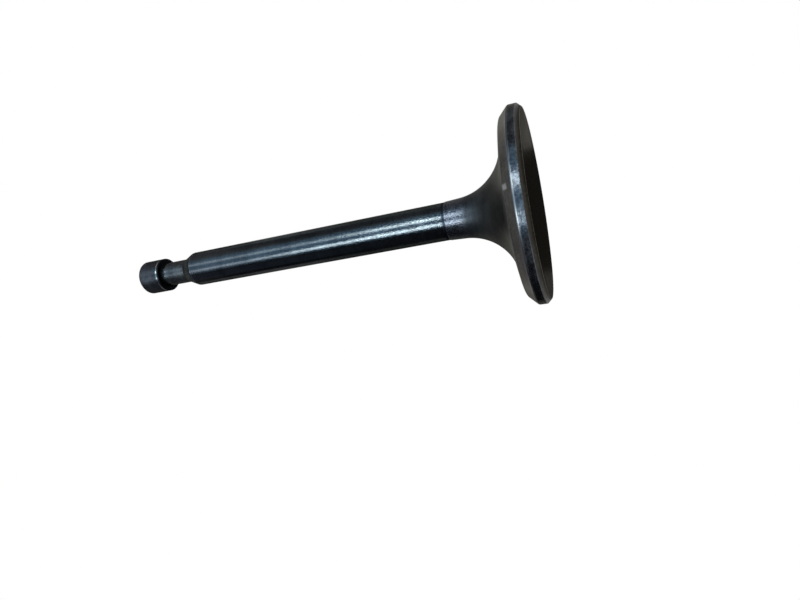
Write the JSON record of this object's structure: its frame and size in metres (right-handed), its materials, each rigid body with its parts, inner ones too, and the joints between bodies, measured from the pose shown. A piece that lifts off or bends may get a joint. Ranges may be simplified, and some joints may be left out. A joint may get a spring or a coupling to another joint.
{
  "type": "engine valve",
  "caption": "Turned poppet valve for a small engine: flat disc head with margin and angled seat face, curved neck, ground stem, keeper groove and chamfered tip.",
  "frame": {"origin": "centre of the flat combustion face, at the bottom of the head", "axes": "+Z along the stem, from the head towards the tip; the part is turned, so X and Y are any two square directions"},
  "size_m": [0.04, 0.04, 0.097],
  "materials": {
    "valve_steel": "dark ground and heat treated steel, satin stem, matt neck and head"
  },
  "bodies": {
    "root": {"valve": "valve_steel"}
  },
  "joints": []
}
